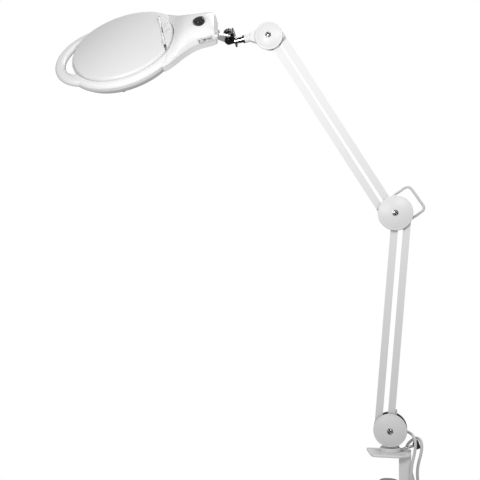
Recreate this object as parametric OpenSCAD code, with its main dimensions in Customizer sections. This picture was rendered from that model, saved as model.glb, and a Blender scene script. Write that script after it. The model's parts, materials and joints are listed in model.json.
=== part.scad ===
// Clamp-on magnifying lamp with two sprung parallel arm stages.
// Millimetres, +Z up. The origin is on the table face under the upper clamp jaw,
// below the swivel axis. The arms lie in the XZ plane and the head points to -X.

/* [Clamp] */
// height of the base knuckle's centre above the table face
base_z = 45; // [45:1:60]
// opening between the jaws at rest
jaw_open = 48; // [46:1:56]
// thickness of the upper jaw plate
jaw_t = 4; // [3.5:0.5:5]
// diameter of the clamp screw
screw_d = 10; // [8:1:12]
// diameter of the clamp screw's tommy bar
tommy_d = 5; // [4:0.5:5]

/* [Arms] */
// distance between the pivots of the lower arm's tubes
arm_len = 391.8; // [380:0.2:396]
// distance between the pivots of the upper arm's tubes
upper_len = 388.6; // [376:0.2:392]
// distance between the two pivots of each knuckle
pivot_gap = 22; // [21:0.5:23]
// side of the square arm tubes
tube = 13; // [12:0.5:13.5]
// wall of the arm tubes
tube_wall = 1.2; // [1:0.1:1.6]
// lean of the lower arm to the right at rest
lower_lean = 4.6; // [0:0.2:8]
// lean of the upper arm to the left at rest
upper_lean = 32.35; // [26:0.05:36]
// diameter of the pivot pins
pin_d = 6; // [5:0.5:6]

/* [Knuckles] */
// radius of the base knuckle's round covers
base_r = 30; // [29.5:0.5:30.5]
// radius of the elbow knuckle's round covers
elbow_r = 31.5; // [30:0.5:33]
// radius of the top knuckle's front cover
top_r = 26; // [25:0.5:28]
// radius of the top knuckle's rear cover
top_rear_r = 22.5; // [20:0.5:26]
// rise of the domed covers over their rims
dome = 6; // [4:0.5:7]

/* [Head] */
// radius of the round lens cover
lid_r = 100; // [98:0.5:100.5]
// rise of the lens cover's dome
lid_rise = 9; // [6:0.5:11]
// radius of the magnifying lens
lens_r = 66; // [60:0.5:66.5]
// centre thickness of the magnifying lens
lens_t = 12; // [9:0.5:13]
// radius of the round power button
button_r = 9.6; // [8:0.2:10]
// number of light emitting diodes on the ring board
led_n = 28; // [12:2:32]
// roll of the head towards the front at rest
head_roll = 48.4; // [40:0.2:56]
// downward slope of the head and its stem at rest
head_slope = 10.65; // [8:0.05:14]

/* [Hidden] */
e = 0.01;
$fn = 64;
plate_in = 7;                 // inner face of the knuckle plates
plate_t = 2;
cover_in = plate_in + plate_t + 0.2;
cover_rim = 13;               // outer face of a cover at its rim
bore_d = pin_d + 0.1;         // running fit on a pivot pin
open_d = pin_d + 0.7;         // the opened pivots of the parallelograms
b1 = [0, base_z];
b2 = [-pivot_gap, base_z];
el = [b2[0] + arm_len * sin(lower_lean), base_z + arm_len * cos(lower_lean)];
el1 = [el[0] + pivot_gap, el[1]];
el2 = [el[0] - pivot_gap, el[1]];
tp1 = [el[0] - upper_len * sin(upper_lean), el[1] + upper_len * cos(upper_lean)];
tp = [tp1[0] - pivot_gap, tp1[1]];
// the tilt pivot, in line with the top knuckle's centre
tilt = [tp[0] - 77.5, tp[1]];
head_u = 196.6;               // tilt pivot to the middle of the lens, along the head
head_h = 41.9;                // tilt pivot up to the rim plane of the lens cover
stem_drop = 7;                // swivel axis below the tilt pivot

// colours
c_white = [0.94, 0.94, 0.93];
c_shade = [0.80, 0.80, 0.82];
c_chrome = [0.62, 0.62, 0.65];
c_black = [0.09, 0.09, 0.10];
c_grey = [0.70, 0.70, 0.74];

// neck outline: distance along the head from the lens centre, half width, crown height
neck = [[-181, 33.0, 6], [-179, 35.6, 8.5], [-174, 37.4, 11], [-166, 38, 13.5],
        [-152, 38.2, 15.5], [-140, 41, 15.5], [-130, 46, 14.2], [-120, 53, 11.6],
        [-110, 61.5, 6.2], [-100, 71.5, 1.2], [-90, 79.5, -2.0], [-80, 85, -4.2]];
seam = -13;
body_r = 115;
hand_c = 54.9;                // centre of the grip loop, along the head
hand_ro = 85.3;
hand_ri = 65;
chord = -77;                  // straight hinge line of the lens cover
hinge_a = 9.9;                // turn of the lens cover and its hinge in the head's seat
hinge_h = 1.2;                // height of the lens cover's hinge pin
hinge_y = [-46, -22, 12, 36]; // fixed eyes of the hinge

// ---------- helpers ----------
// a cylinder along Y, at (x, z), from y0 to y1
module ycyl(p, r, y0, y1, f = 64) {
    translate([p[0], y1, p[1]]) rotate([90, 0, 0]) cylinder(h = y1 - y0, r = r, $fn = f);
}
// a plate in the XZ plane, from y0 to y1
module xzplate(y0, y1) {
    translate([0, y1, 0]) rotate([90, 0, 0]) linear_extrude(y1 - y0) children();
}
// round ended bar between two points of the XZ plane
module stadium(p, q, r) {
    translate(p) circle(r);
    translate(q) circle(r);
    d = q - p;
    translate(p) rotate(atan2(d[1], d[0])) translate([0, -r]) square([norm(d), 2 * r]);
}
// domed round cover, its rim towards +Y of the knuckle when side = 1
module cover(p, r, side, bore) {
    pts = concat([[bore, 0], [r - 0.8, 0], [r, 0.8], [r, cover_rim - cover_in - 1.2]],
        [for (a = [0 : 9 : 90]) [r - 3 + 3 * cos(a) , cover_rim - cover_in - 1.2 + 1.6 * sin(a)]],
        [for (i = [8 : -1 : 1]) [(r - 3) * i / 9, cover_rim - cover_in + 0.4 + (dome - 0.4) * (1 - (i / 9) * (i / 9))]],
        [[bore, cover_rim - cover_in + dome]]);
    translate([p[0], side * cover_in, p[1]]) rotate([side * -90, 0, 0]) rotate_extrude($fn = 96) polygon(pts);
}
// bolt through a knuckle with a domed head at the front and a domed nut at the rear
module knuckle_bolt(p) {
    ycyl(p, pin_d / 2 - 0.03, -(cover_rim + dome), cover_rim + dome);
    for (s = [-1, 1]) translate([p[0], s * (cover_rim + dome), p[1]]) rotate([s * -90, 0, 0])
        rotate_extrude() polygon([[0, 0], [4.6, 0], [4.6, 0.8], [4.1, 1.9], [2.9, 2.8], [1.5, 3.2], [0, 3.3]]);
}
// one square arm tube from p to q, with a plugged lug at each end
module arm_tube(p, q, side, d0, d1) {
    d = q - p;
    n = norm(d);
    y0 = side < 0 ? -5 : 0.6;
    translate([p[0], 0, p[1]]) rotate([0, -atan2(d[1], d[0]), 0]) difference() {
        union() {
            difference() {
                translate([11, -tube / 2, -tube / 2]) cube([n - 22, tube, tube]);
                translate([19, -tube / 2 + tube_wall, -tube / 2 + tube_wall])
                    cube([n - 38, tube - 2 * tube_wall, tube - 2 * tube_wall]);
            }
            translate([0, y0, -6.2]) cube([14, 4.4, 12.4]);
            translate([n - 14, y0, -6.2]) cube([14, 4.4, 12.4]);
            for (x = [0, n]) translate([x, y0 + 4.4, 0]) rotate([90, 0, 0]) cylinder(h = 4.4, r = 6.2);
        }
        translate([0, y0 + 5, 0]) rotate([90, 0, 0]) cylinder(h = 6, d = d0);
        translate([n, y0 + 5, 0]) rotate([90, 0, 0]) cylinder(h = 6, d = d1);
    }
}
// a close wound spring inside an arm tube, from a to b along it
module tube_spring(p, q, a, b) {
    d = q - p;
    n = round((b - a) / 4);
    translate([p[0], 0, p[1]]) rotate([0, 90 - atan2(d[1], d[0]), 0]) translate([0, 0, a])
        rotate_extrude($fn = 32) polygon(concat([[2.4, 0]],
            [for (i = [0 : n - 1]) each [[3.6, i * 4], [4.4, i * 4 + 1], [4.4, i * 4 + 3], [3.6, i * 4 + 4]]],
            [[2.4, n * 4]]));
}
// the frame of the tilt pivot: x along the head, z out of the lens cover
module tilt_frame() {
    translate([tilt[0], 0, tilt[1]]) rotate([0, -head_slope, 0]) rotate([0, 0, 180]) rotate([-head_roll, 0, 0]) children();
}
// the stem's own frame, without the head's roll
module stem_frame() {
    translate([tilt[0], 0, tilt[1]]) rotate([0, -head_slope, 0]) rotate([0, 0, 180]) children();
}
// the head's frame: origin in the middle of the lens cover's rim plane
module head_frame() { tilt_frame() translate([head_u, 0, head_h]) children(); }
module at_head(x, y) { translate([x, y, 0]) children(); }

// tube along a route: rings square to the path, carried along without twist
function unit(v) = v / norm(v);
function dir_at(p, i) = unit(p[min(i + 1, len(p) - 1)] - p[max(i - 1, 0)]);
function side_at(p, i, s) = let (t = dir_at(p, i)) unit(s - t * (s * t));
function sides(p, i, s) = i == len(p) ? [] :
    let (n = side_at(p, i, s)) concat([n], sides(p, i + 1, n));
module tube_along(p, r, f = 8) {
    s = sides(p, 0, [0.31, 0.94, 0.14]);
    pts = [for (i = [0 : len(p) - 1]) let (t = dir_at(p, i), n = s[i], b = cross(t, n))
        for (k = [0 : f - 1]) p[i] + r * (cos(360 * k / f) * n + sin(360 * k / f) * b)];
    m = len(p);
    polyhedron(pts, concat([[for (k = [0 : f - 1]) k]], [[for (k = [f - 1 : -1 : 0]) (m - 1) * f + k]],
        [for (i = [0 : m - 2]) for (k = [0 : f - 1]) each [
            [i * f + k, (i + 1) * f + (k + 1) % f, i * f + (k + 1) % f],
            [i * f + k, (i + 1) * f + k, (i + 1) * f + (k + 1) % f]]]), convexity = 8);
}

// the shell of the neck: crowned sections joined along the head. inset makes the inner skin
nk = 12;
function crown(s, inset, k) = let (a = 180 * k / nk, c = cos(a), w = s[1] - inset, h = s[2] - seam - inset)
    [s[0], w * sign(c) * pow(abs(c), 0.72), seam + h * pow(sin(a), 0.86)];
module neck_loft(inset, low, ends) {
    st = [for (i = [0 : len(neck) - 1]) i == 0 ? neck[i] + [ends, 0, 0] : neck[i]];
    m = len(st);
    w = nk + 3;
    pts = [for (s = st) each concat([[s[0], s[1] - inset, low]], [for (k = [0 : nk]) crown(s, inset, k)], [[s[0], -(s[1] - inset), low]])];
    polyhedron(pts, concat([[for (k = [0 : w - 1]) k]], [[for (k = [w - 1 : -1 : 0]) (m - 1) * w + k]],
        [for (i = [0 : m - 2]) for (k = [0 : w - 1]) each [
            [i * w + k, (i + 1) * w + (k + 1) % w, i * w + (k + 1) % w],
            [i * w + k, (i + 1) * w + k, (i + 1) * w + (k + 1) % w]]]), convexity = 8);
}
module neck_plan(inset) {
    polygon(concat([for (s = neck) [s[0] + (s[0] < -180 ? inset : 0), s[1] - inset]],
        [for (i = [len(neck) - 1 : -1 : 0]) [neck[i][0] + (neck[i][0] < -180 ? inset : 0), -neck[i][1] + inset]]));
}
// dome of the lens cover, from r = 0 outwards
function lid_top(r) = 1 + lid_rise * (1 - pow(r / (lid_r - 5), 2));
module lid_profile() {
    polygon(concat([for (i = [0 : 10]) let (r = (lid_r - 5) * i / 10) [r, lid_top(r)]],
        [[lid_r - 2.4, 0.2], [lid_r - 0.7, -1.6], [lid_r, -4], [lid_r, -6.4], [lid_r - 2.2, -6.4], [lid_r - 2.2, -3.8], [lid_r - 4, -1.8]],
        [for (i = [10 : -1 : 0]) let (r = (lid_r - 6.5) * i / 10) [r, lid_top(r) - 2.2]]));
}

// ---------- clamp ----------
jaw_pts = [[-30, -31], [19, -31], [34, -22], [37, -18], [37, 17], [34, 20], [-40, 20], [-43, 17], [-33, -28]];
spine_x = 15.5;
spine_w = 21.5;
low_z = -jaw_open - 36;
collar_z = 12.8;
lock_a = 20;

module clamp_frame() {
    color(c_white) difference() {
        union() {
            translate([0, 0, 1.5]) linear_extrude(jaw_t) polygon(jaw_pts);
            // pressed channel spine, open towards the table
            translate([spine_x, -18, low_z]) cube([spine_w, 4, 1.5 + jaw_t - low_z]);
            translate([spine_x, 16, low_z]) cube([spine_w, 4, 1.5 + jaw_t - low_z]);
            translate([spine_x + spine_w - 4, -18, low_z]) cube([4, 38, 1.5 + jaw_t - low_z]);
            // lower arm with its screw boss
            translate([-16, -18, low_z]) cube([spine_x + spine_w + 16, 38, 5]);
            translate([-16, -18, low_z]) cube([spine_x + spine_w + 16, 4, 14]);
            translate([-16, 16, low_z]) cube([spine_x + spine_w + 16, 4, 14]);
            translate([-3, 1, low_z - 3]) cylinder(h = 17, r = 11);
        }
        translate([-3, 1, low_z - 5]) cylinder(h = 30, d = screw_d + 0.12);
        translate([0, 0, -1]) cylinder(h = 20, r = 6.05);
        // groove under the lock screw
        translate([17, 0, 8.2]) rotate([0, 90 - lock_a, 0]) translate([0, 0, -6]) cylinder(h = 20, r = 2.8);
    }
}
module jaw_pad() {
    color(c_grey) translate([0, 0, 0]) linear_extrude(1.5)
        polygon([[-29, -27], [14, -27], [14, 16], [-37, 16]]);
}
module swivel_collar() {
    color(c_shade) difference() {
        translate([0, 0, 1.5 + jaw_t]) rotate_extrude() polygon([[6.05, 0], [18.5, 0], [18.5, collar_z - 1.5 - jaw_t - 1.2], [17.3, collar_z - 1.5 - jaw_t], [6.05, collar_z - 1.5 - jaw_t]]);
        translate([17, 0, 8.2]) rotate([0, 90 - lock_a, 0]) translate([0, 0, -5]) cylinder(h = 20, r = 2.5);
        // seat of the cord's gland
        translate(gl) rotate([0, 0, gl_az]) rotate([0, 90 - gl_up, 0]) translate([0, 0, -1]) cylinder(h = 20, r = 3.1);
    }
}
module pressure_foot() {
    color(c_white) translate([-3, 1, -jaw_open - 2]) mirror([0, 0, 1])
        rotate_extrude() polygon([[0, 0], [17, 0], [17, 2.2], [15, 3.4], [9.5, 5.5], [9.5, 9], [screw_d / 2 + 0.2, 9], [screw_d / 2 + 0.2, 4.2], [0, 4.2]]);
}
module pressure_pad() {
    color(c_grey) translate([-3, 1, -jaw_open - 2]) cylinder(h = 2, r = 16.5);
}
screw_end = -jaw_open - 90;
module clamp_screw() {
    color(c_chrome) difference() {
        union() {
            translate([-3, 1, screw_end + 8]) cylinder(h = -jaw_open - 6.4 - screw_end - 8, d = screw_d);
            translate([-3, 1, screw_end]) rotate_extrude() polygon([[0, 0], [6, 0], [7.5, 1.5], [7.5, 12.5], [6, 14], [0, 14]]);
        }
        translate([-3, 1, screw_end + 7]) rotate([90, 0, 0]) translate([0, 0, -12]) cylinder(h = 24, d = tommy_d + 0.1);
    }
}
module clamp_handle() {
    color(c_chrome) translate([-3, 1, screw_end + 7]) rotate([90, 0, 0]) {
        translate([0, 0, -26]) cylinder(h = 52, d = tommy_d);
        for (s = [-26, 26]) translate([0, 0, s]) sphere(r = tommy_d / 2 + 1.3, $fn = 32);
    }
}
module lock_screw() {
    color(c_black) translate([17, 0, 8.2]) rotate([0, 90 - lock_a, 0]) {
        translate([0, 0, -4.8]) cylinder(h = 31, r = 2.45);
        difference() {
            translate([0, 0, 25.5]) rotate_extrude() polygon([[0, 0], [5, 0], [5.5, 1.5], [8, 2.5], [8, 9.5], [7, 11], [0, 11.5]]);
            for (a = [0 : 36 : 359]) rotate([0, 0, a]) translate([8.6, 0, 27.8]) cylinder(h = 12, r = 1.5, $fn = 16);
        }
    }
}

// ---------- base knuckle ----------
module base_bracket() {
    color(c_white) difference() {
        union() {
            intersection() {
                translate([0, 0, collar_z + 0.3]) cylinder(h = 12, r = 13);
                translate([-20, -plate_in - plate_t, 0]) cube([40, 2 * (plate_in + plate_t), 40]);
            }
            translate([0, 0, 2]) cylinder(h = collar_z + 5, r = 6);
            for (y = [-plate_in - plate_t, plate_in]) xzplate(y, y + plate_t) difference() {
                union() {
                    stadium(b2, b1, 7.4);
                    translate([-12.5, collar_z + 4]) square([25, base_z - collar_z - 4]);
                }
                translate([-pivot_gap - 12, base_z + 7.4]) square([60, 20]);
            }
        }
        ycyl(b1, pin_d / 2, -20, 20);
    }
}
module base_cover_front() { color(c_white) cover(b1, base_r, -1, pin_d / 2); }
module base_cover_rear() { color(c_white) cover(b1, base_r, 1, pin_d / 2); }
module base_bolt() { color(c_chrome) knuckle_bolt(b1); }
module base_pin() { color(c_chrome) ycyl(b2, pin_d / 2, -plate_in, plate_in); }

// ---------- lower arm ----------
module lower_tube_main() { color(c_white) arm_tube(b2, el, -1, bore_d, bore_d); }
module lower_tube_aux() {
    color(c_white) {
        arm_tube(b1, el1, -1, bore_d, open_d);
        // cable clip on the side of the tube
        translate([b1[0], 0, b1[1]]) rotate([0, -90 + lower_lean, 0]) translate([25, -3, -tube / 2 - 3.2]) cube([11.5, 6, 4.2]);
    }
}
module lower_springs() { color(c_chrome) tube_spring(b2, el, 60, 240); }

// ---------- elbow ----------
module elbow_bracket() {
    color(c_white) for (y = [-plate_in - plate_t, plate_in]) difference() {
        xzplate(y, y + plate_t) union() {
            stadium(el2, el1, 7.2);
            translate(el) circle(20);
        }
        ycyl(el, pin_d / 2, -20, 20);
    }
}
module elbow_cover_front() { color(c_white) cover(el, elbow_r, -1, pin_d / 2); }
module elbow_cover_rear() { color(c_white) cover(el, elbow_r, 1, pin_d / 2); }
module elbow_bolt() { color(c_chrome) knuckle_bolt(el); }
module elbow_pins() {
    color(c_chrome) { ycyl(el1, pin_d / 2, -plate_in, plate_in); ycyl(el2, pin_d / 2, -plate_in, plate_in); }
}
bow = [[-7, 24], [-6.2, 28], [-4, 32], [-0.5, 35], [3.7, 37.6], [8.7, 40.9], [13.2, 44.3], [17.1, 47], [20.8, 48],
       [24.6, 47.2], [27.6, 44.7], [30.8, 40.5], [34, 36], [38.1, 30.1], [41.6, 24.7], [45.5, 19.2], [49.2, 13.8],
       [51, 9.2], [49.2, 5.2], [45.3, 2], [41.4, -0.9], [37.5, -3.7], [31.2, -7.9], [25, -11.5]];
module elbow_cable() {
    color(c_white) tube_along([for (b = bow) [el[0] + b[0], 11.6, el[1] + b[1]]], 2.4, 10);
}

// ---------- upper arm ----------
module upper_tube_main() { color(c_white) arm_tube(el2, tp, 1, bore_d, bore_d); }
module upper_tube_aux() { color(c_white) arm_tube(el, tp1, 1, bore_d, open_d); }
module upper_springs() { color(c_chrome) tube_spring(el2, tp, 70, 250); }

// ---------- top knuckle ----------
module top_bracket() {
    color(c_white) difference() {
        union() {
            for (y = [-plate_in - plate_t, plate_in]) xzplate(y, y + plate_t) union() {
                stadium(tp, tp1, 6.6);
                translate(tp) circle(19);
                polygon([[tp[0] - 36, tp[1] - 6], [tp[0] - 8, tp[1] - 17], [tp[0], tp[1]], [tp[0] - 4, tp[1] + 18], [tp[0] - 34, tp[1] + 10]]);
            }
            stem_frame() translate([-53, 0, -stem_drop]) rotate([0, 90, 0]) cylinder(h = 23, r = 7.6);
            stem_frame() translate([-53, -7.2, -stem_drop - 7.6]) cube([12, 14.4, 15.2]);
        }
        stem_frame() translate([-54, 0, -stem_drop]) rotate([0, 90, 0]) cylinder(h = 30, r = 5.56);
        ycyl(tp, pin_d / 2, -20, 20);
    }
}
module top_cover_front() { color(c_white) cover(tp, top_r, -1, pin_d / 2); }
module top_cover_rear() { color(c_white) cover(tp, top_rear_r, 1, pin_d / 2); }
module top_bolt() { color(c_chrome) knuckle_bolt(tp); }
module top_pin() { color(c_chrome) ycyl(tp1, pin_d / 2, -plate_in, plate_in); }

// ---------- head joint ----------
module swivel_stem() {
    color(c_chrome) stem_frame() translate([0, 0, -stem_drop]) {
        translate([-52.5, 0, 0]) rotate([0, 90, 0]) cylinder(h = 40, r = 5.5);
        translate([-29.5, 0, 0]) rotate([0, 90, 0]) cylinder(h = 3, r = 7.5);
        translate([-14, 0, 0]) rotate([0, 90, 0]) cylinder(h = 3, r = 8);
    }
    color(c_chrome) tilt_frame() difference() {
        union() {
            translate([-13, -9.6, -15]) cube([3.2, 19.2, 30]);
            for (y = [-6.6, 3.6]) {
                translate([-11, y, -8]) cube([11, 3, 16]);
                translate([0, y + 3, 0]) rotate([90, 0, 0]) cylinder(h = 3, r = 8);
            }
        }
        translate([0, 12, 0]) rotate([90, 0, 0]) cylinder(h = 24, r = 3);
    }
}
module tilt_bolt() {
    color(c_chrome) tilt_frame() {
        translate([0, 6.7, 0]) rotate([90, 0, 0]) cylinder(h = 20.7, r = 2.96);
        translate([0, 10.4, 0]) rotate([90, 0, 0]) cylinder(h = 3.7, r = 6);
    }
}
module wing_knob() {
    color(c_black) tilt_frame() difference() {
        union() {
            translate([0, -6.8, 0]) rotate([90, 0, 0]) cylinder(h = 4, r = 6.5);
            translate([0, -10.8, 0]) rotate([90, 0, 0]) cylinder(h = 9, r = 10.4);
        }
        translate([0, 0, 0]) rotate([90, 0, 0]) cylinder(h = 14.4, r = 3);
        for (a = [0 : 30 : 359]) rotate([0, a, 0]) translate([11, -10, 0]) rotate([90, 0, 0]) cylinder(h = 12, r = 1.4, $fn = 16);
    }
}
module neck_bracket() {
    color(c_chrome) tilt_frame() difference() {
        union() {
            translate([13, -11.5, 14.4]) cube([33, 23, 3.5]);
            translate([0, 3.2, 0]) rotate([90, 0, 0]) linear_extrude(6.4) {
                circle(8);
                polygon([[-5.2, 6], [3, -7.4], [30, 14.6], [13, 15.4], [9, 13]]);
            }
        }
        translate([0, 12, 0]) rotate([90, 0, 0]) cylinder(h = 24, d = 6.06);
    }
}

// ---------- head ----------
module head_top_shell() {
    color(c_white) head_frame() difference() {
        union() {
            rotate_extrude($fn = 120) polygon([[70.8, -9.4], [70.8, -7], [101, -7], [101, -5], [104, -4.2], [109, -5],
                [112.8, -7.2], [114.7, -10.2], [body_r, seam], [112.8, seam], [112.2, -10.8], [110, -9.4]]);
            // wall beside the finger gap
            intersection() {
                difference() {
                    translate([0, 0, seam]) cylinder(h = 8, r = 103.4, $fn = 120);
                    translate([0, 0, seam - 1]) cylinder(h = 12, r = 101, $fn = 120);
                }
                translate([60, -80, -30]) cube([60, 160, 60]);
            }
            // grip loop
            difference() {
                translate([hand_c, 0, -12]) rotate_extrude($fn = 120) {
                    translate([hand_ri + 7, 0]) circle(7);
                    translate([hand_ro - 7, 0]) circle(7);
                    translate([hand_ri + 7, -7]) square([hand_ro - hand_ri - 14, 14]);
                }
                translate([0, 0, -30]) cylinder(h = 60, r = 101, $fn = 120);
                translate([0, 0, -30]) cylinder(h = 30 + seam, r = body_r + 0.2, $fn = 120);
                translate([-60, -120, -40]) cube([110, 240, 80]);
            }
        }
        // finger gap
        difference() {
            translate([hand_c, 0, -40]) cylinder(h = 80, r = hand_ri, $fn = 120);
            translate([0, 0, -41]) cylinder(h = 82, r = 103.4, $fn = 120);
        }
    }
}
// the cover runs over the ring's shoulder up to the lens cover's seat, within this angle to each side
module neck_sector(a) {
    translate([0, 0, -31]) linear_extrude(62) polygon([[0, 0], [-200, -200 * tan(a)], [-200, 200 * tan(a)]]);
}
module neck_top_cover() {
    color(c_white) head_frame() difference() {
        neck_loft(0, seam, 0);
        // hollow, with a wall along the seat and along the ring
        difference() {
            translate([2.4, 0, 0]) neck_loft(2.4, seam - 2, 0);
            translate([0, 0, -30]) cylinder(h = 60, r = 106.7, $fn = 120);
            difference() {
                translate([0, 0, -30]) cylinder(h = 60, r = body_r + 2.4, $fn = 120);
                neck_sector(36);
            }
        }
        rotate_extrude($fn = 120) polygon([[0, -40], [body_r + 0.05, -40], [body_r + 0.05, seam], [114.76, -10.17],
            [112.86, -7.14], [109.02, -4.94], [104.35, -4.2], [104.35, 40], [0, 40]]);
        difference() {
            translate([0, 0, -30]) cylinder(h = 60, r = body_r + 0.05, $fn = 120);
            neck_sector(40);
        }
        translate([-156, 9, 0]) cylinder(h = 40, r = button_r + 1.6);
        translate([-175, 30, -12.4]) cube([27, 20, 9.4]);
    }
}
module neck_bottom_cover() {
    color(c_grey) head_frame() difference() {
        translate([0, 0, -24]) linear_extrude(24 + seam - 0.3) neck_plan(0.6);
        translate([0, 0, -21.6]) linear_extrude(30) neck_plan(3);
        translate([0, 0, -30]) cylinder(h = 60, r = body_r + 0.05, $fn = 120);
    }
}
module head_bottom_shell() {
    color(c_grey) head_frame() difference() {
        rotate_extrude($fn = 120) polygon([[112.4, seam - 0.3], [body_r, seam - 0.3], [body_r, -17], [112.8, -21.4], [104.5, -30.6],
            [98.4, -34.4], [98.4, -31.6], [103.3, -28.6], [110.7, -20.3], [112.4, -16.2]]);
        difference() {
            translate([hand_c, 0, -50]) cylinder(h = 80, r = hand_ri, $fn = 120);
            translate([0, 0, -51]) cylinder(h = 82, r = 103.4, $fn = 120);
        }
    }
    // wall beside the finger gap
    color(c_grey) head_frame() intersection() {
        rotate_extrude($fn = 120) polygon([[101, seam - 0.3], [103.4, seam - 0.3], [103.4, -30.6], [101, -30.6]]);
        translate([70, -75, -40]) cube([60, 150, 40]);
    }
}
function lens_z(r, s, t) = s * t * (1 - pow(r / lens_r, 2));
module lens() {
    color([0.8, 0.9, 0.95, 0.5]) head_frame() translate([0, 0, -16]) rotate_extrude($fn = 96)
        polygon(concat([for (i = [0 : 10]) let (r = lens_r * i / 10) [r, 1.5 + lens_z(r, 1, lens_t / 2 - 1.5)]],
            [for (i = [10 : -1 : 0]) let (r = lens_r * i / 10) [r, -1.5 - lens_z(r, 1, lens_t / 2 - 1.5)]]));
}
module lens_mount() {
    color(c_white) head_frame() rotate_extrude($fn = 96)
        polygon([[66.8, -9.6], [70.6, -9.6], [70.6, -34.2], [66.8, -34.2], [66.8, -20.4], [62.5, -20.4], [62.5, -18.05], [66.8, -18.05]]);
}
module lens_retainer() {
    color(c_white) head_frame() rotate_extrude($fn = 96)
        polygon([[63, -14], [66.7, -14], [66.7, -9.4], [70.7, -9.4], [70.7, -8], [63, -8]]);
}
module led_board() {
    color([0.9, 0.92, 0.9]) head_frame() rotate_extrude($fn = 96) polygon([[74, -26], [94, -26], [94, -27.6], [74, -27.6]]);
}
module led_chips() {
    color([0.97, 0.93, 0.6]) head_frame() for (i = [0 : led_n - 1]) rotate([0, 0, i * 360 / led_n])
        translate([82.2, -1.8, -28.7]) cube([3.6, 3.6, 1.1]);
}
module diffuser() {
    color([0.95, 0.95, 0.97, 0.7]) head_frame() rotate_extrude($fn = 96) polygon([[70.8, -32], [98.2, -32], [98.2, -34], [70.8, -34]]);
}
module board_posts() {
    color(c_white) head_frame() for (a = [45 : 90 : 359]) rotate([0, 0, a]) translate([90, 0, -26]) cylinder(h = 16.6, r = 2.5, $fn = 32);
}
module control_board() {
    color([0.1, 0.35, 0.2]) head_frame() {
        translate([-174, -24, -19]) cube([46, 48, 1.6]);
        translate([-164, 1, -17.4]) cube([16, 16, 20]);
        translate([-140, 6, -17.4]) cube([9, 12, 6]);
        for (x = [-171, -133]) for (y = [-20, 16]) translate([x, y, -21.6]) cube([4, 4, 2.6]);
    }
}
module power_button() {
    color(c_black) head_frame() translate([-156, 9, 8]) rotate_extrude() polygon([[0, 0], [button_r, 0], [button_r, 10.8], [button_r - 0.8, 11.6], [button_r - 3, 12.2], [0, 12.6]]);
}
module button_bezel() {
    color(c_black) head_frame() translate([-156, 9, 12]) difference() {
        cylinder(h = 6.4, r = button_r + 1.5);
        translate([0, 0, -1]) cylinder(h = 9, r = button_r + 0.1);
    }
}
module dimmer_frame() {
    color(c_grey) head_frame() difference() {
        translate([-174.8, 31, -12.2]) cube([26.6, 7.6, 9]);
        translate([-173.4, 33.5, -10.8]) cube([23.8, 8, 6.2]);
    }
}
module dimmer_slider() {
    color(c_white) head_frame() difference() {
        union() {
            translate([-158.5, 33.8, -10.6]) cube([8, 3.4, 5.8]);
            translate([-157, 37, -10]) cube([5, 3.2, 4.6]);
        }
        for (i = [0 : 2]) translate([-156.2 + i * 1.5, 39.6, -11]) cube([0.6, 2, 8]);
    }
}
module lens_lid() {
    color(c_shade) head_frame() rotate([0, 0, hinge_a]) difference() {
        union() {
            difference() {
                rotate_extrude($fn = 120) lid_profile();
                translate([-130, -120, -20]) cube([130 + chord, 240, 60]);
            }
            for (y = [-34, 24]) translate([chord - 1.2, y + 10, hinge_h]) rotate([90, 0, 0]) cylinder(h = 10, r = 2.9);
        }
        for (y = hinge_y) translate([chord - 1.2, y + 10.3, hinge_h]) rotate([90, 0, 0]) cylinder(h = 10.6, r = 3.3);
        // bore for the hinge pin
        translate([chord - 1.2, 60, hinge_h]) rotate([90, 0, 0]) cylinder(h = 120, r = 1.55);
    }
}
module lid_hinge_base() {
    color(c_white) head_frame() rotate([0, 0, hinge_a]) difference() {
        union() {
            intersection() {
                rotate_extrude($fn = 120) lid_profile();
                translate([-130, -120, -20]) cube([130 + chord - 4.6, 240, 60]);
            }
            for (y = hinge_y) {
                translate([chord - 1.2, y + 10, hinge_h]) rotate([90, 0, 0]) cylinder(h = 10, r = 2.9);
                translate([chord - 6.4, y, -1.2]) cube([4, 10, 2.6]);
            }
            // feet on the head's shell
            for (y = [-40, -5, 30]) translate([-91, y, -7]) cube([7, 10, 7]);
            for (y = [-14, 8]) translate([-91, y, -2]) cylinder(h = 6.6, r = 2.6, $fn = 32);
        }
        translate([chord - 1.2, 60, hinge_h]) rotate([90, 0, 0]) cylinder(h = 120, r = 1.5);
    }
}
module lid_hinge_pin() {
    color(c_chrome) head_frame() rotate([0, 0, hinge_a]) translate([chord - 1.2, 46, hinge_h]) rotate([90, 0, 0]) cylinder(h = 92, r = 1.5);
}

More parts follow.
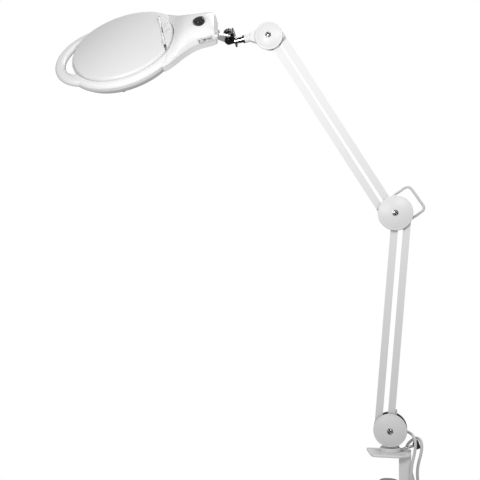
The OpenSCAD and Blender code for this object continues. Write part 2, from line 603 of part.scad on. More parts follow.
// ---------- cord ----------
cord_r = 2.6;
gl_az = 65;
gl_up = 20;
gl = [7, 15, 8.4];
gd = [cos(gl_up) * cos(gl_az), cos(gl_up) * sin(gl_az), sin(gl_up)];
route = [
    [18.6, 40, 19.2], [21, 42.8, 23], [23.3, 43.4, 28.3], [25.2, 41, 33], [26.6, 36.5, 36], [27.4, 31, 37.2], [28.3, 26, 37.3],
    [29.9, 20.5, 37.4], [32.8, 13.9, 37.9], [36, 7, 37.6], [38.6, 1.2, 36.9], [41.2, -4.5, 34.9], [43.6, -10, 30.4], [44.7, -13.4, 24.2],
    [44.2, -14.8, 16.6], [43, -16, 8.2], [41.2, -18.4, 0.4], [39.2, -21.2, -7], [37.6, -23.2, -15.6], [36.9, -24.7, -26], [37.1, -25.2, -37],
    [38.4, -23.8, -47.5], [40.4, -19.2, -56.5], [42.3, -11, -62.8], [43.2, -0.5, -65.2], [43.2, 11, -63.8], [42.6, 21.3, -58.8], [40.8, 30, -50.6],
    [37.4, 36.2, -39.6], [33, 39.6, -27.4], [29, 40.2, -14.4], [27.2, 38.6, -2], [28.8, 35.4, 7.4], [32.4, 30.2, 14.2], [36.9, 24.5, 20.1],
    [42, 18.5, 25.8], [47.2, 12.2, 29.2], [51.8, 5.5, 29], [54.8, 0, 25.2], [56, -4.5, 19.2], [55.4, -8, 12], [53.8, -9.4, 3.3],
    [51.3, -9.5, -5.7], [48.9, -8.4, -16], [47.7, -7.2, -28], [48.2, -6.2, -41], [50, -5.2, -54], [51.8, -5.4, -66], [51.6, -9.8, -80],
    [50.8, -18.2, -94], [50.2, -26, -108.5], [50, -30.6, -122]];
coil_c = [50, -4, -140];
coil_rm = 28.6;
module cord_gland() {
    color(c_white) translate(gl) rotate([0, 0, gl_az]) rotate([0, 90 - gl_up, 0]) difference() {
        union() {
            cylinder(h = 8, r = 3);
            translate([0, 0, 6.6]) cylinder(h = 2.4, r = 4.4);
            translate([0, 0, 9]) cylinder(h = 16, r1 = 4.2, r2 = 3.2, $fn = 32);
        }
        translate([0, 0, 22]) cylinder(h = 10, r = cord_r, $fn = 32);
    }
}
module cord_run() {
    color(c_white) tube_along(concat([gl + gd * 22, gl + gd * 25], route, [coil_c + [0, 0.4 - coil_rm, 5]]), cord_r, 8);
}
module cord_coil() {
    color(c_white) translate(coil_c) rotate([0, 90, 0]) rotate_extrude($fn = 64)
        translate([coil_rm, 0]) union() { circle(r = 7.9, $fn = 32); }
}
module cord_tie() {
    color(c_black) translate(coil_c + [0, 0, -coil_rm]) rotate([90, 0, 0]) difference() {
        translate([0, 0, -4]) cylinder(h = 8, r = 9);
        translate([0, 0, -5]) cylinder(h = 10, r = 8.05);
    }
}
tail = [[50, 1, -168.8], [50, 6, -171.3], [50, 8.6, -176.5], [50, 8.6, -184], [50, 7.2, -194], [50, 5, -204], [50, 4.5, -212]];
module cord_tail() { color(c_white) tube_along(tail, cord_r, 8); }
module plug_body() {
    color(c_white) translate([50, 4.5, -258]) union() {
        translate([-12, -14, 0]) cube([24, 28, 22]);
        translate([-9, -10, 22]) cube([18, 20, 10]);
        translate([0, 0, 32]) cylinder(h = 14, r1 = 7, r2 = 3.6, $fn = 32);
    }
}
module plug_pins() {
    color(c_chrome) for (s = [-1, 1]) translate([50 - 0.8, 4.5 + s * 6.4 - 3.2, -275]) cube([1.6, 6.4, 17]);
}

clamp_frame();
jaw_pad();
swivel_collar();
pressure_foot();
pressure_pad();
clamp_screw();
clamp_handle();
lock_screw();
base_bracket();
base_cover_front();
base_cover_rear();
base_bolt();
base_pin();
lower_tube_main();
lower_tube_aux();
lower_springs();
elbow_bracket();
elbow_cover_front();
elbow_cover_rear();
elbow_bolt();
elbow_pins();
elbow_cable();
upper_tube_main();
upper_tube_aux();
upper_springs();
top_bracket();
top_cover_front();
top_cover_rear();
top_bolt();
top_pin();
swivel_stem();
tilt_bolt();
wing_knob();
neck_bracket();
head_top_shell();
neck_top_cover();
head_bottom_shell();
neck_bottom_cover();
lens();
lens_mount();
lens_retainer();
led_board();
led_chips();
diffuser();
board_posts();
control_board();
power_button();
button_bezel();
dimmer_frame();
dimmer_slider();
lens_lid();
lid_hinge_base();
lid_hinge_pin();
cord_gland();
cord_run();
cord_coil();
cord_tail();
cord_tie();
plug_body();
plug_pins();
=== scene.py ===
import json
import math

import bpy
import bmesh
from mathutils import Matrix, Vector


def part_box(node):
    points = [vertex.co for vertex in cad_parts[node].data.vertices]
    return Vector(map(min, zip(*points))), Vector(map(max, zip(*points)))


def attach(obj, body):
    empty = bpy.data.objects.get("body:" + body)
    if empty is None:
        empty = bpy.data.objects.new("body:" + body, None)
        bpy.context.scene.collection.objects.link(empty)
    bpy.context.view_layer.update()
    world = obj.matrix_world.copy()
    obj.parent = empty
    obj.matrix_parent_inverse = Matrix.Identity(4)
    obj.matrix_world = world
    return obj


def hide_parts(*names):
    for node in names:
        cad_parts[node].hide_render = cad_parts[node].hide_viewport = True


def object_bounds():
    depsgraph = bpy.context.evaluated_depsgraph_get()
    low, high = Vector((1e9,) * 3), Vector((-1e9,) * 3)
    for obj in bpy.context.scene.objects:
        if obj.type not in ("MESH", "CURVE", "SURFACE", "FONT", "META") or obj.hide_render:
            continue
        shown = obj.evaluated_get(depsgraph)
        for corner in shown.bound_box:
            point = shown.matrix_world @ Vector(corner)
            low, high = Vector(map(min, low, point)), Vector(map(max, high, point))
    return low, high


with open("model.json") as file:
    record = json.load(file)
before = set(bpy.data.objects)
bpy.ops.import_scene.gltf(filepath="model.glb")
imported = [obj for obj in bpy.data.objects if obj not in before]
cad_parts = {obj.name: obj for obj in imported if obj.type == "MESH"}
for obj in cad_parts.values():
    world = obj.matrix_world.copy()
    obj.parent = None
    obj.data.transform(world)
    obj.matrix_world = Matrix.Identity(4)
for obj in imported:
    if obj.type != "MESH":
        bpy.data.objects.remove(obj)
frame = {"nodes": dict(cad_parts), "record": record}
cad_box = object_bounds()
scene = bpy.context.scene
N = frame["nodes"]

# ------------------------------------------------------------------ camera
VIEW_AZ = 11.0123
cam_data = bpy.data.cameras.new("camera")
cam_data.sensor_width = 36.0
cam_data.lens = 855.85 / 480.0 * 36.0
cam_data.clip_end = 50
cam = bpy.data.objects.new("camera", cam_data)
cam.location = (0.0289, -1.5705, 0.38707)
cam.rotation_euler = (math.pi / 2, 0, math.radians(VIEW_AZ))
scene.collection.objects.link(cam)
scene.camera = cam


# ------------------------------------------------------------------ cord
def mm(p):
    return Vector((p[0] / 1000.0, p[1] / 1000.0, p[2] / 1000.0))


def nurbs(name, pts, radius, res=4, caps=True, bevel_res=5):
    cu = bpy.data.curves.new(name, "CURVE")
    cu.dimensions = "3D"
    cu.bevel_depth = 1.0
    cu.bevel_resolution = bevel_res
    cu.resolution_u = res
    cu.use_fill_caps = caps
    sp = cu.splines.new("NURBS")
    sp.points.add(len(pts) - 1)
    for k, p in enumerate(pts):
        sp.points[k].co = (p[0], p[1], p[2], 1)
        sp.points[k].radius = radius
    sp.order_u = 4
    sp.use_endpoint_u = True
    ob = bpy.data.objects.new(name, cu)
    scene.collection.objects.link(ob)
    return ob


CORD_D = 0.0052
GL = Vector((7, 15, 8.4))
_az, _up = math.radians(65), math.radians(20)
GD = Vector((math.cos(_up) * math.cos(_az), math.cos(_up) * math.sin(_az), math.sin(_up)))
ROUTE = [
    (18.6, 40, 19.2), (21, 42.8, 23), (23.3, 43.4, 28.3), (25.2, 41, 33), (26.6, 36.5, 36), (27.4, 31, 37.2), (28.3, 26, 37.3),
    (29.9, 20.5, 37.4), (32.8, 13.9, 37.9), (36, 7, 37.6), (38.6, 1.2, 36.9), (41.2, -4.5, 34.9), (43.6, -10, 30.4), (44.7, -13.4, 24.2),
    (44.2, -14.8, 16.6), (43, -16, 8.2), (41.2, -18.4, 0.4), (39.2, -21.2, -7), (37.6, -23.2, -15.6), (36.9, -24.7, -26), (37.1, -25.2, -37),
    (38.4, -23.8, -47.5), (40.4, -19.2, -56.5), (42.3, -11, -62.8), (43.2, -0.5, -65.2), (43.2, 11, -63.8), (42.6, 21.3, -58.8), (40.8, 30, -50.6),
    (37.4, 36.2, -39.6), (33, 39.6, -27.4), (29, 40.2, -14.4), (27.2, 38.6, -2), (28.8, 35.4, 7.4), (32.4, 30.2, 14.2), (36.9, 24.5, 20.1),
    (42, 18.5, 25.8), (47.2, 12.2, 29.2), (51.8, 5.5, 29), (54.8, 0, 25.2), (56, -4.5, 19.2), (55.4, -8, 12), (53.8, -9.4, 3.3),
    (51.3, -9.5, -5.7), (48.9, -8.4, -16), (47.7, -7.2, -28), (48.2, -6.2, -41), (50, -5.2, -54), (51.8, -5.4, -66), (51.6, -9.8, -80),
    (50.8, -18.2, -94), (50.2, -26, -108.5), (50, -30.6, -122)]
COIL_C = Vector((50, -4, -140))
COIL_R = 28.6
TURNS = 6.25
STRAND = 5.22
SLOTS = [(0, 0)] + [(STRAND * math.cos(math.radians(a)), STRAND * math.sin(math.radians(a))) for a in (60, 120, 180, 240, 300, 0)]


def smooth(t):
    t = min(1.0, max(0.0, t))
    return t * t * (3 - 2 * t)


def coil_point(turn):
    k = int(math.floor(turn + 1e-9))
    k = min(k, len(SLOTS) - 1)
    nxt = SLOTS[min(k + 1, len(SLOTS) - 1)]
    t = smooth(((turn - k) - 0.55) / 0.4)
    dr = SLOTS[k][0] * (1 - t) + nxt[0] * t
    dx = SLOTS[k][1] * (1 - t) + nxt[1] * t
    wob = 0.35 * math.sin(turn * 9.7) + 0.2 * math.sin(turn * 23.1)
    a = turn * 2 * math.pi
    r = COIL_R + dr + 0.2 * math.sin(turn * 5.3)
    return Vector((COIL_C.x + dx + 0.4 * wob, COIL_C.y - r * math.cos(a), COIL_C.z - r * math.sin(a)))


cord_pts = [GL + GD * 21.6, GL + GD * 24] + [Vector(p) for p in ROUTE]
PER = 26
cord_pts += [coil_point(i / PER) for i in range(0, int(TURNS * PER))]
cord_pts += [Vector(p) for p in [(50, 0.5, -173.6), (50, 4.8, -174.9), (50, 7.9, -178), (50, 8.9, -183), (50, 8, -190),
                                 (50, 6.4, -197), (50, 5, -205), (50, 4.5, -213.5)]]
cord = nurbs("free_cord", [mm(p) for p in cord_pts], CORD_D / 2, res=3)
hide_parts("cord_run", "cord_coil", "cord_tail")
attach(cord, "clamp")
_len, _prev = 0.0, None
for p in cord_pts:
    if _prev is not None:
        _len += (p - _prev).length / 1000.0
    _prev = p


# ------------------------------------------------------------------ materials
def inp(node, *names):
    for n in names:
        if n in node.inputs:
            return node.inputs[n]
    raise KeyError(names)


def mat(name, base, rough, metal=0.0, var=0.03, vscale=30.0, bump=0.04, bscale=1400.0, rvar=0.05, bevel=0.0005,
        coat=0.0, coat_rough=0.1, spec=0.5, trans=0.0, ior=1.46, ao=0.0, ao_dist=0.008, ao_shade_tint=(0.2, 0.2, 0.21), stretch=None, scratches=0.0,
        alpha=1.0, sheen=0.0):
    m = bpy.data.materials.new(name)
    m.use_nodes = True
    nt = m.node_tree
    nt.nodes.clear()
    out = nt.nodes.new("ShaderNodeOutputMaterial")
    b = nt.nodes.new("ShaderNodeBsdfPrincipled")
    nt.links.new(b.outputs[0], out.inputs[0])
    tc = nt.nodes.new("ShaderNodeTexCoord")
    coords = tc.outputs["Object"]
    if stretch:
        mp = nt.nodes.new("ShaderNodeMapping")
        mp.inputs["Scale"].default_value = stretch
        nt.links.new(coords, mp.inputs["Vector"])
        coords_s = mp.outputs[0]
    else:
        coords_s = coords
    n1 = nt.nodes.new("ShaderNodeTexNoise")
    n1.inputs["Scale"].default_value = vscale
    n1.inputs["Detail"].default_value = 4
    nt.links.new(coords, n1.inputs["Vector"])
    mix = nt.nodes.new("ShaderNodeMix")
    mix.data_type = "RGBA"
    lo = tuple(max(0.0, c * (1 - var)) for c in base)
    hi = tuple(min(1.0, c * (1 + var)) for c in base)
    mix.inputs[6].default_value = (*lo, 1)
    mix.inputs[7].default_value = (*hi, 1)
    nt.links.new(n1.outputs["Fac"], mix.inputs[0])
    col = mix.outputs[2]
    # Painted shade: where ambient occlusion finds nearby surfaces within ao_dist (creases, gaps, recesses), the base
    # colour is darkened by up to ao towards a darker shade colour.
    if ao > 0:
        aon = nt.nodes.new("ShaderNodeAmbientOcclusion")
        aon.samples = 4
        aon.inputs["Distance"].default_value = ao_dist
        rmp = nt.nodes.new("ShaderNodeMapRange")
        rmp.inputs["From Min"].default_value = 0.0
        rmp.inputs["From Max"].default_value = 0.55
        rmp.inputs["To Min"].default_value = ao
        rmp.inputs["To Max"].default_value = 0.0
        nt.links.new(aon.outputs["AO"], rmp.inputs["Value"])
        m2 = nt.nodes.new("ShaderNodeMix")
        m2.data_type = "RGBA"
        m2.inputs[7].default_value = (base[0] * ao_shade_tint[0], base[1] * ao_shade_tint[1], base[2] * ao_shade_tint[2], 1)
        nt.links.new(rmp.outputs[0], m2.inputs[0])
        nt.links.new(col, m2.inputs[6])
        col = m2.outputs[2]
    nt.links.new(col, b.inputs["Base Color"])
    n2 = nt.nodes.new("ShaderNodeTexNoise")
    n2.inputs["Scale"].default_value = vscale * 3.1
    n2.inputs["Detail"].default_value = 3
    nt.links.new(coords_s, n2.inputs["Vector"])
    rr = nt.nodes.new("ShaderNodeMapRange")
    rr.inputs["To Min"].default_value = max(0.0, rough - rvar)
    rr.inputs["To Max"].default_value = min(1.0, rough + rvar)
    nt.links.new(n2.outputs["Fac"], rr.inputs["Value"])
    nt.links.new(rr.outputs[0], b.inputs["Roughness"])
    b.inputs["Metallic"].default_value = metal
    b.inputs["IOR"].default_value = ior
    inp(b, "Specular IOR Level", "Specular").default_value = spec
    inp(b, "Coat Weight", "Coat").default_value = coat
    inp(b, "Coat Roughness").default_value = coat_rough
    inp(b, "Transmission Weight", "Transmission").default_value = trans
    inp(b, "Sheen Weight", "Sheen").default_value = sheen
    b.inputs["Alpha"].default_value = alpha
    n3 = nt.nodes.new("ShaderNodeTexNoise")
    n3.inputs["Scale"].default_value = bscale
    n3.inputs["Detail"].default_value = 2
    nt.links.new(coords_s, n3.inputs["Vector"])
    bm_ = nt.nodes.new("ShaderNodeBump")
    bm_.inputs["Strength"].default_value = bump
    bm_.inputs["Distance"].default_value = 0.0004
    nt.links.new(n3.outputs["Fac"], bm_.inputs["Height"])
    if bevel > 0:
        bv = nt.nodes.new("ShaderNodeBevel")
        bv.samples = 4
        bv.inputs["Radius"].default_value = bevel
        nt.links.new(bv.outputs[0], bm_.inputs["Normal"])
    nt.links.new(bm_.outputs[0], b.inputs["Normal"])
    m["bsdf"] = b.name
    return m


def cover_inside_painted_shade(m, side, dark=(0.03, 0.03, 0.032)):
    """Painted shade: the face of a knuckle cover towards the plates is painted black, masked by the object-space
    normal, standing in for the shade in the gap between cover and plates.
    """
    nt = m.node_tree
    b = nt.nodes[m["bsdf"]]
    src = b.inputs["Base Color"].links[0].from_socket
    tc = nt.nodes.new("ShaderNodeTexCoord")
    sep = nt.nodes.new("ShaderNodeSeparateXYZ")
    nt.links.new(tc.outputs["Normal"], sep.inputs[0])
    mr = nt.nodes.new("ShaderNodeMapRange")
    mr.inputs["From Min"].default_value = 0.45 * side
    mr.inputs["From Max"].default_value = 0.75 * side
    nt.links.new(sep.outputs["Y"], mr.inputs["Value"])
    mx = nt.nodes.new("ShaderNodeMix")
    mx.data_type = "RGBA"
    mx.inputs[7].default_value = (*dark, 1)
    nt.links.new(mr.outputs[0], mx.inputs[0])
    nt.links.new(src, mx.inputs[6])
    nt.links.new(mx.outputs[2], b.inputs["Base Color"])
    return m


def painted_reflection_bands(m, dark=(0.018, 0.018, 0.02), light=(0.80, 0.80, 0.83), waves=2.3, bias=0.5):
    """Plated metal: painted reflection, the dark and light bands that a shop-lit polished part shows, laid out as base
    colour over its own faces by the object-space normal.
    """
    nt = m.node_tree
    b = nt.nodes[m["bsdf"]]
    tc = nt.nodes.new("ShaderNodeTexCoord")
    sep = nt.nodes.new("ShaderNodeSeparateXYZ")
    nt.links.new(tc.outputs["Normal"], sep.inputs[0])
    a = nt.nodes.new("ShaderNodeMath")
    a.operation = "MULTIPLY"
    a.inputs[1].default_value = waves
    nt.links.new(sep.outputs["Z"], a.inputs[0])
    c = nt.nodes.new("ShaderNodeMath")
    c.operation = "MULTIPLY_ADD"
    c.inputs[1].default_value = waves * 0.8
    nt.links.new(sep.outputs["X"], c.inputs[0])
    nt.links.new(a.outputs[0], c.inputs[2])
    nz = nt.nodes.new("ShaderNodeTexNoise")
    nz.inputs["Scale"].default_value = 130
    nt.links.new(tc.outputs["Object"], nz.inputs["Vector"])
    e = nt.nodes.new("ShaderNodeMath")
    e.operation = "MULTIPLY_ADD"
    e.inputs[1].default_value = 1.6
    nt.links.new(nz.outputs["Fac"], e.inputs[0])
    nt.links.new(c.outputs[0], e.inputs[2])
    w = nt.nodes.new("ShaderNodeMath")
    w.operation = "SINE"
    g = nt.nodes.new("ShaderNodeMath")
    g.operation = "MULTIPLY"
    g.inputs[1].default_value = 3.1
    nt.links.new(e.outputs[0], g.inputs[0])
    nt.links.new(g.outputs[0], w.inputs[0])
    mr = nt.nodes.new("ShaderNodeMapRange")
    mr.inputs["From Min"].default_value = bias - 0.45
    mr.inputs["From Max"].default_value = bias + 0.25
    nt.links.new(w.outputs[0], mr.inputs["Value"])
    mx = nt.nodes.new("ShaderNodeMix")
    mx.data_type = "RGBA"
    mx.inputs[6].default_value = (*dark, 1)
    mx.inputs[7].default_value = (*light, 1)
    nt.links.new(mr.outputs[0], mx.inputs[0])
    nt.links.new(mx.outputs[2], b.inputs["Base Color"])
    return m


M = {}
M["white_paint"] = mat("white_paint", (0.80, 0.80, 0.80), 0.42, bump=0.10, bscale=1800, var=0.012, ao=0.85, ao_dist=0.012)
M["shade_paint"] = mat("shade_paint", (0.60, 0.60, 0.62), 0.42, bump=0.10, bscale=1800, var=0.015, ao=0.8, ao_dist=0.01)
M["grey_pad"] = mat("grey_pad", (0.36, 0.36, 0.37), 0.8, bump=0.35, bscale=900, var=0.06)
M["steel"] = mat("steel", (0.50, 0.50, 0.51), 0.28, metal=1.0, stretch=(1, 1, 12), bump=0.06, bscale=700, rvar=0.1)
# chrome: painted reflection, dark and light bands in its base colour
M["chrome"] = painted_reflection_bands(mat("chrome", (0.72, 0.72, 0.74), 0.10, metal=1.0, bump=0.015, bscale=500, rvar=0.05))
# knuckle covers: painted shade, the face towards the plates is painted black
M["cover_front"] = cover_inside_painted_shade(mat("cover_front", (0.80, 0.80, 0.805), 0.36, bump=0.06, bscale=1600, var=0.012, bevel=0.0007), 1)
M["cover_rear"] = cover_inside_painted_shade(mat("cover_rear", (0.80, 0.80, 0.805), 0.36, bump=0.06, bscale=1600, var=0.012, bevel=0.0007), -1)
M["black_plastic"] = mat("black_plastic", (0.012, 0.012, 0.013), 0.34, bump=0.12, bscale=1500, var=0.1)
M["black_gloss"] = mat("black_gloss", (0.008, 0.008, 0.009), 0.12, bump=0.02, bscale=900, coat=0.4)
M["head_plastic"] = mat("head_plastic", (0.84, 0.84, 0.84), 0.22, bump=0.03, bscale=900, var=0.008, coat=0.35, coat_rough=0.08, ao=0.2, ao_dist=0.003, bevel=0.0006)
M["base_plastic"] = mat("base_plastic", (0.72, 0.72, 0.74), 0.30, bump=0.05, bscale=1100, var=0.02, coat=0.15, ao=0.5, ao_dist=0.006)
M["lid_plastic"] = mat("lid_plastic", (0.765, 0.765, 0.775), 0.33, bump=0.05, bscale=1300, var=0.012, coat=0.15, coat_rough=0.2, ao=0.15, ao_dist=0.003, bevel=0.0003)
M["inner_plastic"] = mat("inner_plastic", (0.80, 0.80, 0.78), 0.5, bump=0.08, bscale=1300, ao=0.4)
M["lens_glass"] = mat("lens_glass", (0.93, 0.98, 0.97), 0.02, trans=1.0, ior=1.52, bump=0.0, bevel=0.0, rvar=0.01, var=0.01)
M["diffuser_plastic"] = mat("diffuser_plastic", (0.92, 0.93, 0.95), 0.45, trans=0.55, ior=1.49, bump=0.25, bscale=1200, rvar=0.05)
M["board"] = mat("board", (0.75, 0.77, 0.74), 0.38, bump=0.05, bscale=600)
M["green_board"] = mat("green_board", (0.03, 0.16, 0.06), 0.35, bump=0.2, bscale=300)
M["led"] = mat("led", (0.85, 0.66, 0.12), 0.3, bump=0.05, coat=0.5)
M["cord_white"] = mat("cord_white", (0.66, 0.66, 0.66), 0.5, bump=0.12, bscale=1500, bevel=0.0, var=0.03, ao=0.6, ao_dist=0.006)
M["plug_white"] = mat("plug_white", (0.76, 0.76, 0.75), 0.42, bump=0.1, bscale=1200)
M["brass"] = mat("brass", (0.72, 0.56, 0.28), 0.25, metal=1.0, bump=0.04, bscale=800)

rec_slot = {s["node"]: s["material_slot"] for s in frame["record"]["subparts"]}
for name, ob in N.items():
    key = rec_slot[name]
    if key == "cover_plastic":
        key = "cover_front" if name.endswith("front") else "cover_rear"
    ob.data.materials.clear()
    ob.data.materials.append(M[key])
cord.data.materials.append(M["cord_white"])
M["lid_segment"] = mat("lid_segment", (0.74, 0.74, 0.75), 0.55, bump=0.04, bscale=1300, var=0.012, bevel=0.0, spec=0.25)
for hinge_part in ("lid_hinge_pin", "lid_hinge_base"):
    N[hinge_part].data.materials.clear()
    N[hinge_part].data.materials.append(M["lid_segment"])

# soft shading over the moulded shells, and rounded edges on the plug
for part, bevel_mm in (("neck_top_cover", 0), ("neck_bottom_cover", 0), ("plug_body", 1.4), ("cord_tie", 0.5)):
    ob = N[part]
    for p in ob.data.polygons:
        p.use_smooth = True
    if ob.data.has_custom_normals:
        with bpy.context.temp_override(object=ob, active_object=ob, mesh=ob.data):
            bpy.ops.mesh.customdata_custom_splitnormals_clear()
    md = ob.modifiers.new("weld", "WELD")
    md.merge_threshold = 0.000002
    if bevel_mm:
        md = ob.modifiers.new("round", "BEVEL")
        md.width = bevel_mm / 1000
        md.segments = 3
        md.limit_method = "ANGLE"
        md.angle_limit = math.radians(40)
    md = ob.modifiers.new("split", "EDGE_SPLIT")
    md.split_angle = math.radians(34)
    md = ob.modifiers.new("weigh", "WEIGHTED_NORMAL")
    md.keep_sharp = True

# ------------------------------------------------------------------ detail pieces
def rot(axis, deg):
    return Matrix.Rotation(math.radians(deg), 3, axis)


TILT = Vector((-298.014, 0, 763.825))
HR = rot("Y", -10.65) @ rot("Z", 180) @ rot("X", -48.4)


def H(u, v, h):
    return TILT + HR @ Vector((196.6 + u, v, 41.9 + h))


def add_mesh(name, bm, body, material, smooth_faces=True):
    me = bpy.data.meshes.new(name)
    bmesh.ops.recalc_face_normals(bm, faces=bm.faces)
    bm.to_mesh(me)
    bm.free()
    if smooth_faces:
        for p in me.polygons:
            p.use_smooth = True
    ob = bpy.data.objects.new(name, me)
    scene.collection.objects.link(ob)
    me.materials.append(material)
    if smooth_faces:
        md = ob.modifiers.new("edges", "EDGE_SPLIT")
        md.split_angle = math.radians(38)
    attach(ob, body)
    return ob


def lathe_into(bm, profile, origin, direction, segs=48, wobble=None):
    """Closed ring or solid of revolution: profile is (radius, height) in mm along direction from origin."""
    z = Vector(direction).normalized()
    x = z.orthogonal().normalized()
    y = z.cross(x)
    rings = []
    for r, h in profile:
        if r < 1e-6:
            rings.append([bm.verts.new((Vector(origin) + z * h) / 1000)])
            continue
        ring = []
        for k in range(segs):
            a = 2 * math.pi * k / segs
            rr = r * (wobble(a) if wobble else 1)
            ring.append(bm.verts.new((Vector(origin) + z * h + (x * math.cos(a) + y * math.sin(a)) * rr) / 1000))
        rings.append(ring)
    for a, b in zip(rings, rings[1:]):
        if len(a) == 1 and len(b) == 1:
            continue
        for k in range(segs):
            k2 = (k + 1) % segs
            if len(a) == 1:
                bm.faces.new((a[0], b[k], b[k2]))
            elif len(b) == 1:
                bm.faces.new((a[k], b[0], a[k2]))
            else:
                bm.faces.new((a[k], b[k], b[k2], a[k2]))
    return rings


def lathe(name, profile, origin, direction, body, material, segs=48, closed=False, wobble=None):
    bm = bmesh.new()
    prof = list(profile) + ([profile[0]] if closed else [])
    lathe_into(bm, prof, origin, direction, segs, wobble)
    bmesh.ops.remove_doubles(bm, verts=bm.verts, dist=1e-7)
    return add_mesh(name, bm, body, material)


def block_into(bm, centre, ex, ey, ez, size, bevel=0.3, segs=2):
    b2 = bmesh.new()
    bmesh.ops.create_cube(b2, size=1.0)
    for v in b2.verts:
        v.co = (Vector(centre) + Vector(ex) * v.co.x * size[0] + Vector(ey) * v.co.y * size[1] + Vector(ez) * v.co.z * size[2]) / 1000
    bmesh.ops.bevel(b2, geom=list(b2.edges), offset=bevel / 1000, segments=segs, affect="EDGES", profile=0.7)
    me = bpy.data.meshes.new("tmp")
    b2.to_mesh(me)
    b2.free()
    bm.from_mesh(me)
    bpy.data.meshes.remove(me)


EU, EV, EH = HR @ Vector((1, 0, 0)), HR @ Vector((0, 1, 0)), HR @ Vector((0, 0, 1))

# ribbed strain relief over the gland, tapering to the cord
prof = [(3.0, 7.6), (4.7, 7.8), (4.9, 8.6)]
for k in range(7):
    z0 = 9.2 + k * 2.5
    r0 = 4.75 - 1.55 * (k / 7.0)
    prof += [(r0, z0), (r0, z0 + 1.3), (r0 - 0.55, z0 + 1.6), (r0 - 0.55, z0 + 2.2)]
prof += [(3.15, 27.4), (3.05, 28.6), (2.7, 29.0)]
relief = lathe("cord_strain_relief", prof, GL, GD, "clamp", M["cord_white"], segs=40)

# cable that bridges the elbow
EL = Vector((9.422, 11.6, 435.538))
BOW = [(-7, 24), (-6.2, 28), (-4, 32), (-0.5, 35), (3.7, 37.6), (8.7, 40.9), (13.2, 44.3), (17.1, 47), (20.8, 48), (24.6, 47.2),
       (27.6, 44.7), (30.8, 40.5), (34, 36), (38.1, 30.1), (41.6, 24.7), (45.5, 19.2), (49.2, 13.8), (51, 9.2), (49.2, 5.2),
       (45.3, 2), (41.4, -0.9), (37.5, -3.7), (31.2, -7.9), (25, -11.5)]
bridge = nurbs("elbow_cable_sheath", [mm(EL + Vector((a, 0, b))) for a, b in BOW], 0.0024, res=5)
bridge.data.materials.append(M["cord_white"])
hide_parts("elbow_cable")
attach(bridge, "elbow")

# washers and hex sockets of the knuckle bolts
TOPF = Vector((-220.514, 0, 763.825))
for tag, c, body in (("base", Vector((0, 0, 45)), "base"), ("elbow", Vector((EL.x, 0, EL.z)), "elbow"), ("top", TOPF, "top")):
    lo_b, hi_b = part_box(tag + "_bolt")
    for side, yy in ((-1, lo_b.y * 1000 + 3.3), (1, hi_b.y * 1000 - 3.3)):
        tagn = "front" if side < 0 else "rear"
        lathe(tag + "_washer_" + tagn, [(4.2, -0.5), (5.0, -0.5), (5.3, -0.2), (5.3, 0.2), (5.0, 0.4), (4.2, 0.45)],
              (c.x, yy, c.z), (0, side, 0), body, M["chrome"], closed=True)
        bm = bmesh.new()
        lathe_into(bm, [(0, 3.2), (1.5, 3.22), (1.75, 3.3), (1.9, 3.0), (1.9, 2.6)], (c.x, yy, c.z), (0, side, 0), segs=6)
        add_mesh(tag + "_bolt_socket_" + tagn, bm, body, M["black_plastic"], smooth_faces=False)

# screws under the head ring and the neck
bm = bmesh.new()
nrm = Vector((0.56, -0.83))
for k in range(6):
    a = math.radians(30 + 60 * k)
    r, h = 101.6, -32.75
    o = H(r * math.cos(a), r * math.sin(a), h)
    dr = (EU * math.cos(a) + EV * math.sin(a)) * 0.42 - EH * 0.907
    lathe_into(bm, [(3.1, -0.4), (3.1, 0.15), (2.7, 0.45), (1.5, 0.5), (1.3, 0.1), (0, 0.05)], o, dr, segs=28)
for u, v in ((-132, -22), (-132, 22), (-172, -20), (-172, 20)):
    lathe_into(bm, [(3.1, -0.4), (3.1, 0.15), (2.7, 0.45), (1.5, 0.5), (1.3, 0.1), (0, 0.05)], H(u, v, -24), -EH, segs=28)
add_mesh("head_cover_screws", bm, "head", M["steel"])

# ribs and dark slot of the dimmer
bm = bmesh.new()
block_into(bm, H(-155.0, 33.52, -7.7), EU, EV, EH, (9.6, 0.18, 5.9), 0.05)
add_mesh("dimmer_slot", bm, "head", M["black_plastic"])
bm = bmesh.new()
for k in range(6):
    block_into(bm, H(-173.4 + 1.6 + 2.05 * k, 33.52, -7.7), EU, EV, EH, (0.9, 0.18, 5.6), 0.05)
add_mesh("dimmer_ribs", bm, "head", M["base_plastic"])

# small latch tab between the ring and the neck, near side
bm = bmesh.new()
a = math.radians(137.6)
o = H(115.6 * math.cos(a), 115.6 * math.sin(a), -15.5)
rad = EU * math.cos(a) + EV * math.sin(a)
tan = -EU * math.sin(a) + EV * math.cos(a)
block_into(bm, o, rad, tan, EH, (2.2, 6.5, 2.4), 0.5)
add_mesh("seam_latch", bm, "head", M["black_plastic"])

# folded lip along the front edge of the upper jaw
lip = nurbs("jaw_lip", [mm(p) for p in ((-40.6, 15, 3.5), (-40.4, 12, 3.5), (-36.2, -8, 3.4), (-32.6, -24.5, 3.2), (-31.4, -28.0, 3.1), (-28.2, -30.2, 3.0),
                                       (-20, -30.6, 3.0), (0, -30.6, 3.0), (14, -30.6, 3.0), (19.5, -30.2, 3.1), (33, -21.6, 3.3))], 0.0023, res=6)
lip.data.materials.append(M["white_paint"])
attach(lip, "clamp")

# grip ribs on the plug
plo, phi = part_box("plug_body")
pc = (plo + phi) * 500
hx, hy = (phi.x - plo.x) * 500, (phi.y - plo.y) * 500
bm = bmesh.new()
for k in range(5):
    zc = plo.z * 1000 + 4.6 + 3.2 * k
    for sx in (-1, 1):
        block_into(bm, (pc.x + sx * (hx - 0.1), pc.y, zc), (1, 0, 0), (0, 1, 0), (0, 0, 1), (0.9, hy * 1.2, 1.5), 0.3)
add_mesh("plug_grip_ribs", bm, "clamp", M["plug_white"])

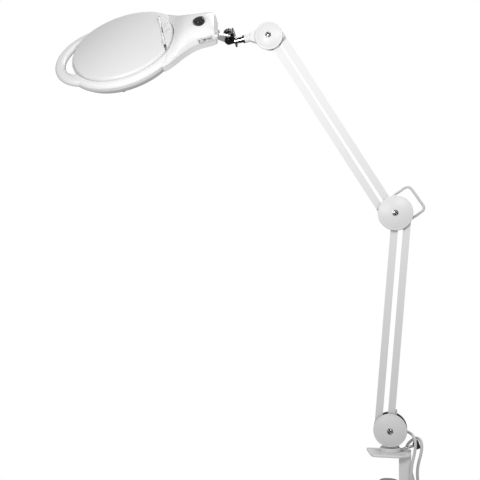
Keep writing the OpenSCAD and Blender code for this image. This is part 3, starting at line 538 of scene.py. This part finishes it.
# the lock screw has a bright shank and a black knob
lock = N["lock_screw"]
lock.data.materials.clear()
lock.data.materials.append(M["steel"])
lock.data.materials.append(M["black_plastic"])
ldir = Vector((math.cos(math.radians(20)), 0, math.sin(math.radians(20))))
for p in lock.data.polygons:
    along = ((lock.matrix_world @ p.center) * 1000 - Vector((17, 0, 8.2))).dot(ldir)
    p.material_index = 1 if along > 25.4 else 0

# ------------------------------------------------------------------ floor, light
lo, hi = cad_box
bpy.ops.mesh.primitive_circle_add(vertices=96, radius=0.62, fill_type="NGON", location=(-0.05, 0, lo[2] - 0.012))
floor = bpy.context.object
floor.name = "floor"
floor.data.materials.append(mat("floor_pale", (0.86, 0.86, 0.86), 0.7, bump=0.05, bscale=60, vscale=6, bevel=0.0))

world = bpy.data.worlds.new("studio")
world.use_nodes = True
scene.world = world
wn = world.node_tree
wn.nodes.clear()
wo = wn.nodes.new("ShaderNodeOutputWorld")
bg1 = wn.nodes.new("ShaderNodeBackground")
bg1.inputs["Color"].default_value = (1, 1, 1, 1)
bg1.inputs["Strength"].default_value = 0.36
bg2 = wn.nodes.new("ShaderNodeBackground")
bg2.inputs["Color"].default_value = (1, 1, 1, 1)
bg2.inputs["Strength"].default_value = 1.0
mxs = wn.nodes.new("ShaderNodeMixShader")
lp = wn.nodes.new("ShaderNodeLightPath")
wn.links.new(lp.outputs["Is Camera Ray"], mxs.inputs[0])
wn.links.new(bg1.outputs[0], mxs.inputs[1])
wn.links.new(bg2.outputs[0], mxs.inputs[2])
wn.links.new(mxs.outputs[0], wo.inputs[0])


def area(name, loc, target, size, power, size_y=None, color=(1, 1, 1)):
    d = bpy.data.lights.new(name, "AREA")
    d.energy = power
    d.size = size
    d.color = color
    if size_y:
        d.shape = "RECTANGLE"
        d.size_y = size_y
    o = bpy.data.objects.new(name, d)
    o.location = loc
    v = Vector(target) - Vector(loc)
    o.rotation_euler = v.to_track_quat("-Z", "Y").to_euler()
    scene.collection.objects.link(o)
    return o


area("key", (0.30, -0.78, 1.00), (-0.02, 0.0, 0.55), 0.5, 3.7)
area("head_front", (-0.50, -0.82, 0.68), (-0.50, -0.1, 0.8), 0.45, 4.1)
area("rim_top", (-0.1, 0.35, 1.30), (-0.25, 0.0, 0.75), 0.5, 5.0)

scene.view_settings.view_transform = "Standard"
scene.view_settings.look = "None"
scene.view_settings.exposure = 0.0
scene.view_settings.gamma = 1.0
